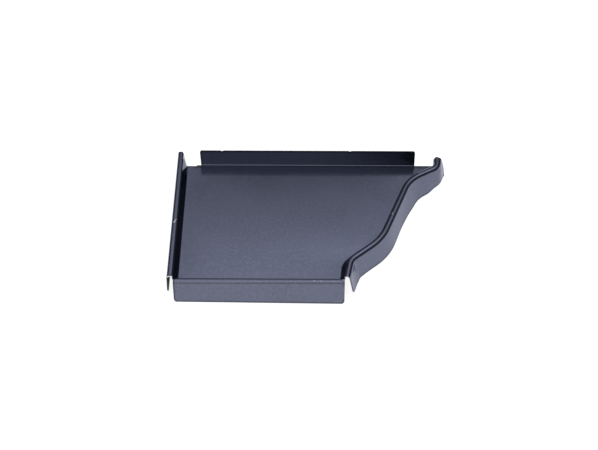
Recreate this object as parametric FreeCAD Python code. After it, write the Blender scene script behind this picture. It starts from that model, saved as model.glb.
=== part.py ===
import FreeCAD, Part
import math
import os

# End cap for a K-style (ogee) rain gutter, folded from one sheet of painted aluminium.
# It lies outside face up: the plate closes the gutter, and a rim runs round three sides.
# The rim rises from the plate to a ridge and turns down into a flared skirt, so that under
# the ridge there is a slot that the gutter's edge pushes into. The fourth side, at the
# gutter's open top, is folded up into a plain flange.
# +X runs from the back of the gutter to its front, +Y from its bottom to its open top and +Z
# out of the closed end. Millimetres. The part rests on the edges of its skirts at Z = 0.
V = FreeCAD.Vector

# Sheet and bends
sheet = 0.7                  # thickness of the painted sheet
base_bend = 1.0              # hollow bend where the plate turns up into the rim
ridge_bend = 1.2             # outside of the two bends along the ridge
bend_land = 0.3              # flat left between a bend and the plate's own outline

# Rim section
skirt_depth = 10.9           # ridge top down to the skirt's edge
ridge_rise = 5.0             # plate's outer face up to the ridge top
ridge_width = 3.2            # across the outside of the ridge
wall_draft = 12.5            # lean of the wall between plate and ridge, degrees
back_flare = 0.8             # how far the skirt's edge stands out, along the back
bottom_flare = 2.0           # the same along the bottom
front_flare = 2.75           # the same along the ogee front

# Rim route, along the middle of the ridge, from the back bottom corner of the gutter
gutter_width = 127.0         # back to the front lip
bottom_width = 79.9          # back to the foot of the front
top_height = 83.7            # bottom to the fold line along the open top
back_overrun = 4.2           # back rim's end, past the fold line
lip_overrun = 0.7            # lip's end, past the fold line
foot_lean = 2.1              # how far the front leans out up to its lower bend
lower_bend_height = 14.7
belly_reach = 17.6           # belly corner, ahead of the foot
belly_rise = 13.7            # belly corner, above the lower bend
throat_setback = 14.5        # throat corner, behind the lip
throat_drop = 9.4            # throat corner, below the lip's foot
lip_length = 5.8             # lip's foot to its end
lower_bend_radius = 6.5
belly_radius = 30.0
throat_radius = 20.0
lip_bend_radius = 6.0

# Notches at the two bottom corners, where the rim is cut so that it can be folded
back_notch = 2.9             # back rim starts this far up from the bottom ridge
front_notch = 2.9            # front rim starts this far up from the bottom ridge
bottom_start = 1.5           # bottom rim starts this far from the back ridge
bottom_stop = 0.4            # bottom rim stops this far short of the front corner
skirt_corner = 1.7           # rounding of the skirts' free corners

# Open top edge
top_flange_length = 8.2      # fold line to the flange's edge
top_flange_lean = 8.6        # degrees away from upright
top_flange_back_gap = 9.8    # back ridge to the flange's end
top_flange_lip_gap = 10.8    # the flange's other end to the lip's ridge
top_flange_corner = 1.0
relief_width = 2.1           # step in the plate's edge beside the flange
relief_inset = 0.3           # that step's edge, short of the fold line
plate_back_inset = 0.9       # plate's edge beside the back rim, short of the fold line
plate_lip_inset = 0.2        # plate's edge beside the lip, short of the fold line
back_wall_slant = 3.0        # how far the back wall's cut end leans on its way up to the ridge
lip_wall_slant = 0.6         # the same at the lip

# Derived values
plate_top = skirt_depth - ridge_rise
ridge_half = ridge_width / 2
wall_foot = ridge_half + ridge_rise * math.tan(math.radians(wall_draft))
base_tangent = base_bend * math.tan(math.radians(90 - wall_draft) / 2)
strip = wall_foot + base_tangent + bend_land          # plate that belongs to the rim section
reach = 4 * skirt_depth                               # size of cutting blocks, past any rim
back_height = top_height + back_overrun
lip_height = top_height + lip_overrun
lip_foot_height = lip_height - lip_length
plate_back_height = top_height - plate_back_inset
plate_lip_height = top_height - plate_lip_inset
relief_height = top_height - relief_inset
top_flange_start = top_flange_back_gap
top_flange_stop = gutter_width - top_flange_lip_gap


def left(direction):
    """The direction turned a quarter to the left, in plan."""
    return V(-direction.y, direction.x, 0)


def unit(start, end):
    """Unit vector from one point to another."""
    step = end - start
    return step.multiply(1 / step.Length)


def rounded_edges(points, radii):
    """Edges along a run of points, with an arc of the given radius at each inner corner."""
    edges = []
    last = points[0]
    for before, corner, after, radius in zip(points, points[1:], points[2:], radii):
        way_in = unit(before, corner)
        way_out = unit(corner, after)
        turn = way_in.getAngle(way_out)
        setback = radius * math.tan(turn / 2)
        start = corner - way_in * setback
        end = corner + way_out * setback
        inward = (way_out - way_in).normalize()
        middle = corner + inward * (radius / math.cos(turn / 2) - radius)
        if (start - last).Length > 1e-6:
            edges.append(Part.LineSegment(last, start).toShape())
        edges.append(Part.Arc(start, middle, end).toShape())
        last = end
    edges.append(Part.LineSegment(last, points[-1]).toShape())
    return edges


def shifted(points, distance):
    """An open run of points in the XZ plane, moved sideways to its right by a distance."""
    moved = []
    for index, point in enumerate(points):
        ways = []
        if index > 0:
            ways.append(unit(points[index - 1], point))
        if index < len(points) - 1:
            ways.append(unit(point, points[index + 1]))
        sides = [V(way.z, 0, -way.x) for way in ways]
        total = sides[0] + sides[-1]
        moved.append(point + total * (2 * distance / total.dot(total)))
    return moved


def sheet_section(points, radii, bends_left):
    """Face of the folded sheet in the XZ plane: points run along its outer face."""
    hidden = shifted(points, sheet)
    hidden_radii = []
    for radius, to_left in zip(radii, bends_left):
        hidden_radii.append(radius + sheet if to_left else radius - sheet)
    front = rounded_edges(points, radii)
    back = rounded_edges(hidden, hidden_radii)
    first_end = Part.LineSegment(points[0], hidden[0]).toShape()
    last_end = Part.LineSegment(points[-1], hidden[-1]).toShape()
    outline = Part.__sortEdges__(front + [last_end] + back + [first_end])
    return Part.Face(Part.Wire(outline))


def skirt_edge(flare):
    """Outer corner of a skirt's square-cut edge: its inner corner then stands at Z = 0."""
    height = sheet * flare / math.hypot(flare, skirt_depth)
    return V(ridge_half + flare * (1 - height / skirt_depth), 0, height)


def rim_section(flare):
    """Rim section in the XZ plane, with the ridge's middle at X = 0 and the outside at +X."""
    points = [
        V(-strip, 0, plate_top),
        V(-wall_foot, 0, plate_top),
        V(-ridge_half, 0, skirt_depth),
        V(ridge_half, 0, skirt_depth),
        skirt_edge(flare),
    ]
    return sheet_section(points, [base_bend, ridge_bend, ridge_bend], [True, False, False])


def placed(section, point, direction):
    """A section set across the route at a point, with its outside to the right."""
    face = section.copy()
    outside = left(direction) * -1
    angle = math.degrees(math.atan2(outside.y, outside.x))
    face.rotate(V(0, 0, 0), V(0, 0, 1), angle)
    face.translate(point)
    return face


def run_along(section, edges):
    """Solids of a section carried along straight and round stretches of the route."""
    solids = []
    for edge in edges:
        start = edge.valueAt(edge.FirstParameter)
        way = edge.tangentAt(edge.FirstParameter)
        face = placed(section, start, way)
        if isinstance(edge.Curve, Part.Line):
            solids.append(face.extrude(edge.valueAt(edge.LastParameter) - start))
            continue
        centre = edge.Curve.Center
        turn = math.degrees(edge.Length / edge.Curve.Radius)
        to_left = left(way).dot(centre - start) > 0
        solids.append(face.revolve(centre, V(0, 0, 1), turn if to_left else -turn))
    return solids


def block_beside(point, way, on_left):
    """Block on one side of the upright plane that runs through a point along a way."""
    block = Part.makeBox(2 * reach, reach, 2 * reach, V(-reach, 0 if on_left else -reach, -reach))
    block.rotate(V(0, 0, 0), V(0, 0, 1), math.degrees(math.atan2(way.y, way.x)))
    block.translate(point)
    return block


def upright_prism(points, direction):
    """Solid swept from a closed run of points."""
    return Part.Face(Part.makePolygon(points + points[:1])).extrude(direction)


def corner_cutter(corner, along, outside):
    """Waste that rounds a skirt's free lower corner: along points away from the skirt."""
    inner = corner - along * skirt_corner
    raised = V(0, 0, skirt_corner)
    middle = inner + raised + (along - V(0, 0, 1)) * (skirt_corner * math.sqrt(0.5))
    arc = Part.Arc(inner, middle, corner + raised).toShape()
    past = V(0, 0, -skirt_corner)
    rim = [
        arc,
        Part.makeLine(corner + raised, corner + raised + along * skirt_corner),
        Part.makeLine(corner + raised + along * skirt_corner, corner + along * skirt_corner + past),
        Part.makeLine(corner + along * skirt_corner + past, inner + past),
        Part.makeLine(inner + past, inner),
    ]
    return Part.Face(Part.Wire(rim)).extrude(outside * reach)


# Route of the rim
back_end = V(0, back_height, 0)
back_corner = V(0, 0, 0)
front_corner = V(bottom_width, 0, 0)
front_route = [
    front_corner,
    V(bottom_width + foot_lean, lower_bend_height, 0),
    V(bottom_width + belly_reach, lower_bend_height + belly_rise, 0),
    V(gutter_width - throat_setback, lip_foot_height - throat_drop, 0),
    V(gutter_width, lip_foot_height, 0),
    V(gutter_width, lip_height, 0),
]
front_radii = [lower_bend_radius, belly_radius, throat_radius, lip_bend_radius]
front_edges = rounded_edges(front_route, front_radii)
back_way = unit(back_end, back_corner)
bottom_way = unit(back_corner, front_corner)
front_way = unit(front_route[0], front_route[1])
back_mitre = left(back_way) + left(bottom_way)
front_mitre = left(bottom_way) + left(front_way)


def make_rim():
    """The three stretches of rim, mitred into each other at the bottom corners."""
    back_edge = Part.makeLine(back_end, back_corner)
    bottom_edge = Part.makeLine(back_corner, front_corner)
    back_rim = run_along(rim_section(back_flare), [back_edge])[0]
    bottom_rim = run_along(rim_section(bottom_flare), [bottom_edge])[0]
    front_rim = run_along(rim_section(front_flare), front_edges)
    back_rim = back_rim.cut(block_beside(back_corner, back_mitre, False))
    bottom_rim = bottom_rim.cut(block_beside(back_corner, back_mitre, True))
    bottom_rim = bottom_rim.cut(block_beside(front_corner, front_mitre, False))
    front_rim[0] = front_rim[0].cut(block_beside(front_corner, front_mitre, True))
    return [back_rim, bottom_rim] + front_rim


def inner_corner(corner, way_in, way_out):
    """Where two stretches of the plate's outline meet inside a corner of the route."""
    total = left(way_in) + left(way_out)
    return corner + total * (2 * strip / total.dot(total))


def fold_start():
    """Where the plate ends and the section of the top flange begins."""
    turn = math.radians(90 - top_flange_lean)
    return top_height - base_bend * math.tan(turn / 2) - bend_land


def inside(edge, start, end):
    """A stretch of the front route moved in to the plate's outline, with given end points."""
    if isinstance(edge.Curve, Part.Line):
        return Part.makeLine(start, end)
    middle = (edge.FirstParameter + edge.LastParameter) / 2
    return Part.Arc(start, edge.valueAt(middle) + left(edge.tangentAt(middle)) * strip, end).toShape()


def make_plate():
    """The flat plate inside the rim, up to the open top edge."""
    back_foot = inner_corner(back_corner, back_way, bottom_way)
    front_foot = inner_corner(front_corner, bottom_way, front_way)
    lip_foot = V(gutter_width - strip, plate_lip_height, 0)
    joints = [front_foot]
    for edge in front_edges[1:]:
        joints.append(edge.valueAt(edge.FirstParameter) + left(edge.tangentAt(edge.FirstParameter)) * strip)
    joints.append(lip_foot)
    top_edge = [
        lip_foot,
        V(top_flange_stop, plate_lip_height, 0),
        V(top_flange_stop, fold_start(), 0),
        V(top_flange_start, fold_start(), 0),
        V(top_flange_start, relief_height, 0),
        V(top_flange_start - relief_width, relief_height, 0),
        V(top_flange_start - relief_width, plate_back_height, 0),
        V(strip, plate_back_height, 0),
        back_foot,
        front_foot,
    ]
    edges = []
    for edge, start, end in zip(front_edges, joints, joints[1:]):
        edges.append(inside(edge, start, end))
    for start, end in zip(top_edge, top_edge[1:]):
        edges.append(Part.makeLine(start, end))
    plate = Part.Face(Part.Wire(edges)).extrude(V(0, 0, sheet))
    plate.translate(V(0, 0, plate_top - sheet))
    return plate


def make_top_flange():
    """The flange folded up along the open top, with its two corners rounded."""
    lean = math.radians(top_flange_lean)
    fold = V(top_height, 0, plate_top)
    edge = fold + V(math.sin(lean), 0, math.cos(lean)) * top_flange_length
    points = [V(fold_start(), 0, plate_top), fold, edge]
    section = sheet_section(points, [base_bend], [True])
    section.rotate(V(0, 0, 0), V(0, 0, 1), 90)
    section.translate(V(top_flange_start, 0, 0))
    flange = section.extrude(V(top_flange_stop - top_flange_start, 0, 0))
    long_edges = []
    for side in flange.Edges:
        middle = side.CenterOfMass
        at_end = min(abs(middle.x - top_flange_start), abs(middle.x - top_flange_stop)) < 1e-6
        if at_end and middle.z > edge.z - sheet and abs(side.Length - sheet) < 1e-6:
            long_edges.append(side)
    return flange.makeFillet(top_flange_corner, long_edges)


def end_waste(near_x, far_x, plate_end, slant):
    """Waste past the slanted end of a rim's wall, from the plate up to the ridge."""
    below = plate_top - 2 * sheet
    points = [
        V(near_x, plate_end, below),
        V(near_x, plate_end, plate_top),
        V(near_x, plate_end + slant, skirt_depth),
        V(near_x, plate_end + slant + reach, skirt_depth),
        V(near_x, plate_end + slant + reach, below),
    ]
    return upright_prism(points, V(far_x - near_x, 0, 0))


def notch_block(x, y, sign):
    """Waste of a bottom corner notch, on one side of x and below y."""
    return Part.makeBox(reach, reach, 2 * reach, V(x if sign > 0 else x - reach, y - reach, -reach))


def make_waste():
    """Everything that is trimmed off after the sheet is joined up."""
    front_start = front_corner + front_way * (front_notch / front_way.y)
    front_out = left(front_way) * -1
    stop = bottom_width - bottom_stop
    return [
        notch_block(bottom_start, back_notch, -1),
        notch_block(stop, front_notch, 1),
        end_waste(ridge_half - ridge_bend / 2, strip, plate_back_height, back_wall_slant),
        end_waste(gutter_width - strip, gutter_width - ridge_half + ridge_bend / 2,
                  plate_lip_height, lip_wall_slant),
        corner_cutter(V(bottom_start, 0, 0), V(-1, 0, 0), V(0, -1, 0)),
        corner_cutter(V(stop, 0, 0), V(1, 0, 0), V(0, -1, 0)),
        corner_cutter(V(0, back_notch, 0), V(0, -1, 0), V(-1, 0, 0)),
        corner_cutter(V(0, back_height, 0), V(0, 1, 0), V(-1, 0, 0)),
        corner_cutter(front_start, V(0, -1, 0), front_out),
        corner_cutter(V(gutter_width, lip_height, 0), V(0, 1, 0), V(1, 0, 0)),
    ]


def make_end_cap():
    """The whole cap, with the middle of its box's underside at the origin."""
    pieces = make_rim() + [make_top_flange()]
    cap = make_plate().fuse(pieces).cut(make_waste()).removeSplitter()
    x_low = -skirt_edge(back_flare).x
    x_high = gutter_width + skirt_edge(front_flare).x
    y_low = -skirt_edge(bottom_flare).x
    cap.translate(V(-(x_low + x_high) / 2, -(y_low + back_height) / 2, 0))
    return cap


os.makedirs("parts", exist_ok=True)
end_cap = make_end_cap()
end_cap.exportStep("parts/end_cap.step")
print("end_cap", end_cap.ShapeType, len(end_cap.Solids), end_cap.isValid(), round(end_cap.Volume, 1))
print(end_cap.BoundBox)
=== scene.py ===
import math
from collections import namedtuple

import bmesh
import bpy
import numpy as np
from bpy.props import FloatProperty, FloatVectorProperty, IntProperty, PointerProperty
from mathutils import Matrix, Vector, noise
from mathutils.geometry import delaunay_2d_cdt
from mathutils.kdtree import KDTree


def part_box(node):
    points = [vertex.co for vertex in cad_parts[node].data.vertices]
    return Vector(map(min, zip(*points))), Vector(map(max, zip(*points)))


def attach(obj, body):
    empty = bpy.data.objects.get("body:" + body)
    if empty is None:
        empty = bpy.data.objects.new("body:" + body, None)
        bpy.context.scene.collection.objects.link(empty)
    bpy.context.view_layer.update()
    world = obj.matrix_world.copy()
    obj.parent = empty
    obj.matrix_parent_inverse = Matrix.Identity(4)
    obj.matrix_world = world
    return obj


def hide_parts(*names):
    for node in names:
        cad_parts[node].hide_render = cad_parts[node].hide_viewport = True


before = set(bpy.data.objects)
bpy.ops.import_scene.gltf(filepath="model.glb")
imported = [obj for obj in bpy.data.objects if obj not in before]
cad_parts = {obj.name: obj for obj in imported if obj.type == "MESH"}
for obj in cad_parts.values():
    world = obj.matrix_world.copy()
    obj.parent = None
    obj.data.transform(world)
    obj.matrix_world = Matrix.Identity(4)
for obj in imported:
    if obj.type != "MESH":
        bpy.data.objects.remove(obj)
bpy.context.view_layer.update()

# Looks of a gutter end cap that is pressed and folded from one painted sheet. The sizes start from
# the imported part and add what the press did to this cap, in metres. The sheet is laid out in gutter
# coordinates (X from the middle of the back ridge, Y from the middle of the bottom ridge, Z up from
# the floor) and moved into the part's frame at the end.

bl_info = {
    "name": "Gutter End Cap",
    "version": (1, 0, 0),
    "blender": (4, 5, 0),
    "location": "3D View > Sidebar > End Cap",
    "description": "Presses a painted gutter end cap and sets it on a pale studio floor",
    "category": "Add Mesh",
}

CAD_NODE = "end_cap"
WORK_ATTRIBUTES = ("press", "shares", "moves", "way", "at_plate", "bend", "in_section")
ALONG_X = Vector((1, 0, 0))
ALONG_Y = Vector((0, 1, 0))

# Rows across a skirt, as shares of the way from the ridge down to its edge
SKIRT_ROWS = (0.03, 0.06, 0.1, 0.15, 0.2, 0.26, 0.32, 0.45, 0.58, 0.7, 0.8, 0.86, 0.9, 0.935, 0.96,
              0.98, 0.992, 1.0)
# Rows up the top flange, as shares of the way from the fold to its edge
FLANGE_ROWS = (0.25, 0.45, 0.62, 0.76, 0.87, 0.92, 0.955, 0.98, 0.993, 1.0)

# Stops between the corners of the ogee front, as shares of the way from one corner to the next
FOOT = 0.5
UNDER_BELLY = 0.3
SHANK = 0.45
UNDER_THROAT = 0.68
NECK = 0.42
OVER_NECK = 0.58
# Share of the back's height from which its wall is drawn out towards the far end
BACK_TUCK_START = 0.8
# Rounds of smoothing that ease the marks of the press along the rim
PRESS_BLUR = 9
# Push of the lip's roll at the ridge, and its growth down the skirt before it fades out
ROLL_AT_RIDGE = 0.8
ROLL_GROWTH = 1.6

# Nicks in the flange's edge, in metres: place along the fold and depth, and how far each reaches
NICKS = ((0.0204, 0.0004), (0.0839, 0.0004))
NICK_REACH = 0.0007

# Points this close are one point, and points this near to a plane lie in it, in metres
WELD = 1e-5
IN_PLANE = 1e-7
# A strip's end is drawn to its mitre, and the back's far end to its cut, over these lengths, in metres
MITRE_FADE = 0.008
FAR_CUT_FADE = 0.015
# Points in the plate, in steps of its grid: distance between rows, and least distance from the outline
GRID_ROW = 0.866
GRID_CLEARANCE = 0.5

# A row of the section: place out from the ridge and up from the floor, bend radius, and how far it
# goes along with the skirt's edge, with the foot of the wall and with the roll of the skirt
Row = namedtuple("Row", "out up bend shares")
# A stop of the route: place in plan, bend radius, and how far edge, foot and roll move out
Stop = namedtuple("Stop", "x y bend moves")


def length(name, description, default):
    """A size of the cap, in metres."""
    return FloatProperty(name=name, description=description, default=default, unit="LENGTH", precision=5)


def spread(name, where, default):
    """How much further out the skirt's edge stands at a place along the rim."""
    return length(f"{name} Spread", f"Skirt's extra reach {where}", default)


def tuck(name, where, default):
    """How far the wall's foot is drawn out under the ridge at a place along the rim."""
    return length(f"{name} Tuck", f"Wall's foot drawn out under the ridge {where}", default)


def angle(name, description, degrees):
    """A slope, given in degrees."""
    return FloatProperty(name=name, description=description, default=math.radians(degrees),
                         subtype="ANGLE")


def share(name, description, default):
    """A plain number from 0 to 1."""
    return FloatProperty(name=name, description=description, default=default, min=0, max=1,
                         subtype="FACTOR")


def number(name, description, default, unit="NONE"):
    """A plain number."""
    return FloatProperty(name=name, description=description, default=default, unit=unit)


def count(name, description, default):
    """A whole number."""
    return IntProperty(name=name, description=description, default=default)


def colour(name, description, default):
    """A linear colour."""
    return FloatVectorProperty(name=name, description=description, default=default, size=3, min=0,
                               max=1, subtype="COLOR")


def triple(name, description, default, kind="TRANSLATION"):
    """Three numbers that give a place, a direction or the sizes of a box."""
    return FloatVectorProperty(name=name, description=description, default=default, size=3,
                               subtype=kind)


class RimSizes(bpy.types.PropertyGroup):
    """Section of the folded sheet round the rim."""
    sheet: length("Sheet", "Thickness of the painted sheet", 0.0007)
    base_bend: length("Base Bend", "Hollow bend where the plate turns up", 0.0006)
    flange_bend: length("Flange Bend", "Hollow bend where the top flange turns up", 0.00035)
    ridge_bend: length("Ridge Bend", "Outside of the two bends along back and bottom ridge", 0.0012)
    front_bend: length("Front Bend", "Outside of the two bends along the front's ridge", 0.0017)
    bend_land: length("Bend Land", "Flat between a bend and the plate's outline", 0.0003)
    skirt_depth: length("Skirt Depth", "Ridge top down to the skirt's edge", 0.0109)
    ridge_rise: length("Ridge Rise", "Plate up to the ridge top", 0.0050)
    ridge_outside: length("Ridge Outside", "Ridge's middle to the top of its skirt", 0.0016)
    ridge_inside: length("Ridge Inside", "Ridge's middle to the top of its wall", 0.0011)
    wall_draft: angle("Wall Draft", "Lean of the wall between plate and ridge", 22)
    back_flare: length("Back Flare", "Stand-out of the skirt's edge along the back", 0.0008)
    bottom_flare: length("Bottom Flare", "Stand-out of the skirt's edge along the bottom", 0.0020)
    front_flare: length("Front Flare", "Stand-out of the skirt's edge along the front", 0.00275)
    skirt_corner: length("Skirt Corner", "Rounding of the skirts' free corners", 0.0017)


class RouteSizes(bpy.types.PropertyGroup):
    """Route of the rim, along the middle of its ridge."""
    gutter_width: length("Gutter Width", "Back to the front lip", 0.1270)
    bottom_width: length("Bottom Width", "Back to the foot of the front", 0.0799)
    top_height: length("Top Height", "Bottom to the fold line along the open top", 0.0837)
    back_overrun: length("Back Overrun", "Back rim's end, past the fold line", 0.0042)
    lip_overrun: length("Lip Overrun", "Lip's end, past the fold line", 0.0011)
    foot_lean: length("Foot Lean", "Lean of the front up to its lower bend", 0.0027)
    lower_bend_height: length("Lower Bend Height", "Bottom to the front's lower bend", 0.0147)
    belly_reach: length("Belly Reach", "Belly corner, ahead of the foot", 0.0176)
    belly_rise: length("Belly Rise", "Belly corner, above the lower bend", 0.0137)
    throat_setback: length("Throat Setback", "Throat corner, behind the lip", 0.0145)
    throat_drop: length("Throat Drop", "Throat corner, below the lip's foot", 0.0094)
    lip_length: length("Lip Length", "Lip's foot to its end", 0.0062)
    lower_bend_radius: length("Lower Bend Radius", "Rounding of the lower bend", 0.0080)
    belly_radius: length("Belly Radius", "Rounding of the belly", 0.0300)
    throat_radius: length("Throat Radius", "Rounding of the throat", 0.0200)
    lip_bend_radius: length("Lip Bend Radius", "Rounding below the lip", 0.0060)


class EdgeSizes(bpy.types.PropertyGroup):
    """Notches, cut ends and the flange along the open top."""
    back_notch: length("Back Notch", "Start of the back rim, up from the bottom ridge", 0.0029)
    front_notch: length("Front Notch", "Start of the front rim, up from the bottom ridge", 0.0029)
    bottom_start: length("Bottom Start", "Start of the bottom rim, from the back ridge", 0.0015)
    bottom_stop: length("Bottom Stop", "End of the bottom rim, short of the front corner", 0.0004)
    flange_length: length("Flange Length", "Fold line to the flange's edge", 0.0082)
    flange_lean: angle("Flange Lean", "Lean of the flange away from upright", 8.6)
    flange_back_gap: length("Flange Back Gap", "Back ridge to the flange's end", 0.0098)
    flange_lip_gap: length("Flange Lip Gap", "Flange's other end to the lip's ridge", 0.0108)
    flange_corner: length("Flange Corner", "Rounding of the flange's corners", 0.0010)
    relief_width: length("Relief Width", "Step in the plate's edge beside the flange", 0.0021)
    relief_inset: length("Relief Inset", "That step's edge, short of the fold line", 0.0003)
    plate_back_inset: length("Plate Back Inset", "Plate's edge by the back, short of the fold", 0.0009)
    plate_lip_inset: length("Plate Lip Inset", "Plate's edge by the lip, short of the fold", 0.0002)
    back_wall_slant: length("Back Wall Slant", "Lean of the back wall's cut up to the ridge", 0.0045)
    lip_wall_slant: length("Lip Wall Slant", "Lean of the lip wall's cut up to the ridge", 0.0006)
    lip_skirt_setback: length("Lip Skirt Setback", "Lip skirt's end, short of the ridge's", 0.0006)
    edge_rounding: length("Edge Rounding", "Rounding of the sheet's cut edges", 0.00007)
    # Painted shade: over this width along the cut edges the paint is darkened and loses its clear coat
    edge_shade: length("Edge Shade", "Width of the thin dark paint along the cut edges", 0.0010)


class PressMarks(bpy.types.PropertyGroup):
    """What the press does to the sheet: ridge, skirt and wall wander a little along the rim."""
    bottom_inset: length("Bottom Inset", "Bottom ridge, in from its line on the packed part", 0.00065)
    back_spread: spread("Back", "along the back", -0.0005)
    bottom_back_spread: spread("Bottom Back", "where the bottom meets the back", 0.0002)
    bottom_front_spread: spread("Bottom Front", "where the bottom meets the front", 0.0012)
    tip_spread: spread("Tip", "at the front's near end", -0.0009)
    foot_spread: spread("Foot", "halfway to the lower bend", -0.0002)
    lower_bend_spread: spread("Lower Bend", "at the lower bend", 0.0006)
    under_belly_spread: spread("Under Belly", "below the belly", 0.0003)
    belly_spread: spread("Belly", "at the belly", 0.00025)
    shank_spread: spread("Shank", "between belly and throat", -0.0001)
    under_throat_spread: spread("Under Throat", "below the throat", 0.000316)
    throat_spread: spread("Throat", "at the throat", 0.0012)
    neck_spread: spread("Neck", "between throat and lip", 0.0013)
    over_neck_spread: spread("Over Neck", "below the lip's bend", 0.0007)
    lip_bend_spread: spread("Lip Bend", "at the lip's bend", -0.00095)
    lip_end_spread: spread("Lip End", "at the lip's end", 0.0009)
    lip_roll: length("Lip Roll", "Rounding over of the skirt at the lip", 0.00105)
    back_tuck: tuck("Back", "at the back's far end", 0.00025)
    foot_tuck: tuck("Foot", "at the lower bend, where less than 0 draws it in", -0.0005)
    wall_tuck: tuck("Wall", "from the belly to the lip's bend", 0.0010)
    lip_tuck: tuck("Lip", "at the lip's end", 0.0016)
    tip_lean: length("Tip Lean", "Front skirt's cut end, further out at its edge", 0.0005)
    bottom_lean: length("Bottom Lean", "Bottom skirt's back end, further in at its edge", 0.00015)
    flange_end_lean: length("Flange End Lean", "Flange's back end, further out at its edge", 0.0004)
    plate_crown: length("Plate Crown", "Rise of the plate's middle above its outline", 0.0007)
    crown_shoulder: length("Crown Shoulder", "How soon that rise grows from back and front", 0.018)
    plate_wave: length("Plate Wave", "Height of the soft waves in the plate", 0.00005)
    plate_wave_length: length("Plate Wave Length", "Size of the soft waves in the plate", 0.030)
    step: length("Step", "Distance between sections along the rim", 0.0006)
    plate_grid: length("Plate Grid", "Distance between points inside the plate", 0.0035)
    bend_points: count("Bend Points", "Points round each bend of the sheet", 10)
    corner_points: count("Corner Points", "Points round each bend of the route", 24)


class PaintLook(bpy.types.PropertyGroup):
    """Colours and gloss of the sheet."""
    paint: colour("Paint", "Dark slate-blue coil paint", (0.118, 0.129, 0.188))
    deep: number("Deep", "Brightness of the paint in its deep patches", 0.9)
    pale: number("Pale", "Brightness of the paint in its pale grains", 1.12)
    # Painted shade: how dark the paint is made along the cut edges
    painted_shade: number("Thin", "Brightness of the thin paint along the cut edges", 0.3)
    gloss_low: share("Smoothest", "Roughness of the paint at its smoothest", 0.17)
    gloss_high: share("Roughest", "Roughness of the paint at its roughest", 0.21)
    flake: share("Flake", "Share of metal flake in the paint", 0.96)
    flake_tint: colour("Flake Tint", "Colour of the flake at a grazing angle", (0.5, 0.52, 0.6))
    coat: share("Coat", "Clear top coat away from the cut edges", 0.6)
    coat_index: number("Coat Index", "Refractive index of the clear top coat", 1.40)
    varnish: share("Varnish", "Roughness of the clear top coat", 0.10)
    dust: colour("Dust", "Specks of dust on the paint", (0.5, 0.5, 0.54))
    bare_metal: colour("Bare Metal", "Aluminium where the paint is gone", (0.82, 0.82, 0.85))
    dull: number("Dull", "Brightness of the bare metal between its streaks", 0.8)


class StageLook(bpy.types.PropertyGroup):
    """Floor, light and camera."""
    floor: colour("Floor", "Pale floor", (0.8, 0.8, 0.8))
    floor_size: length("Floor Size", "Side of the floor", 6.0)
    floor_white: share("Floor White", "Share of the floor's white that no shadow darkens", 0.9)
    floor_shade: share("Floor Shade", "Share of the floor's matt shade laid over that white", 0.5)
    # Painted shadow: in this box under the plate, reflections see no white glow on the floor, only its
    # matt shade
    hollow_middle: triple("Hollow Middle", "Middle of the dark floor under the plate",
                          (-0.02565, 0.004, 0.0))
    hollow_size: triple("Hollow Size", "Half sizes of the dark floor under the plate",
                        (0.04015, 0.044, 1.0), "XYZ_LENGTH")
    light_from: triple("Light From", "Middle of the soft light overhead", (0.0, 0.26, 0.966),
                       "DIRECTION")
    light_core: share("Light Core", "Cosine of the angle from there at which the light is full", 0.97)
    light_edge: share("Light Edge", "Cosine of the angle from there at which the light ends", 0.76)
    low_light: number("Low Light", "Brightness of the dim surroundings", 0.1)
    high_light: number("High Light", "Brightness of the soft light overhead", 1.50)
    light_colour: colour("Light Colour", "Slightly cool light overhead", (0.93, 0.95, 1.0))
    fill_place: triple("Fill Place", "Middle of the fill light by the camera", (-0.38, -0.95, 0.85))
    fill_width: length("Fill Width", "Width of the fill light", 1.2)
    fill_height: length("Fill Height", "Height of the fill light", 1.25)
    fill_light: number("Fill Light", "Brightness of the fill light", 1.0)
    fill_colour: colour("Fill Colour", "Slightly warm fill light", (1.0, 1.0, 0.9))
    lens: number("Lens", "Focal length", 82.3, "CAMERA")
    sensor: number("Sensor", "Width of the camera's sensor", 36.0, "CAMERA")
    camera_place: triple("Camera Place", "Where the camera stands", (-0.00707, -0.46511, 0.46431))
    camera_aim: triple("Camera Aim", "Direction that the camera looks in",
                       (0.00199, 0.71152, -0.70268), "DIRECTION")
    camera_roll: angle("Camera Roll", "Turn of the camera about its aim", 0.34)


def clamp(value):
    """The value, kept between 0 and 1."""
    return max(0.0, min(1.0, value))


# Nodes


def feed(tree, node, inputs):
    """Sets a node's inputs. An input is a value or another node's output."""
    for name, value in inputs.items():
        if isinstance(value, bpy.types.NodeSocket):
            tree.links.new(value, node.inputs[name])
        else:
            node.inputs[name].default_value = value


def add(tree, kind, inputs=None, **settings):
    """A new node with its settings and inputs."""
    node = tree.nodes.new(kind)
    for name, value in settings.items():
        setattr(node, name, value)
    feed(tree, node, inputs or {})
    return node


def made(tree, kind, output, inputs=None, **settings):
    """One output of a new node."""
    return add(tree, kind, inputs, **settings).outputs[output]


def maths(tree, operation, *values):
    """What a sum makes of some values."""
    return made(tree, "ShaderNodeMath", "Value", dict(enumerate(values)), operation=operation)


def vector_maths(tree, operation, *vectors, output="Vector"):
    """What a sum makes of some vectors."""
    return made(tree, "ShaderNodeVectorMath", output, dict(enumerate(vectors)), operation=operation)


def ramped(tree, value, low, high, start=0.0, end=1.0, ease="LINEAR"):
    """A value mapped from low..high to start..end and kept there."""
    inputs = {"Value": value, "From Min": low, "From Max": high, "To Min": start, "To Max": end}
    return made(tree, "ShaderNodeMapRange", "Result", inputs, interpolation_type=ease)


def mixed(tree, amount, first, second):
    """Two colours mixed by an amount."""
    return made(tree, "ShaderNodeMix", 2, {0: amount, 6: first, 7: second}, data_type="RGBA")


def speckle(tree, place, scale, detail=2.0):
    """Soft noise with so many grains to the metre."""
    inputs = {"Vector": place, "Scale": scale, "Detail": detail}
    return made(tree, "ShaderNodeTexNoise", "Fac", inputs)


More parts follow.
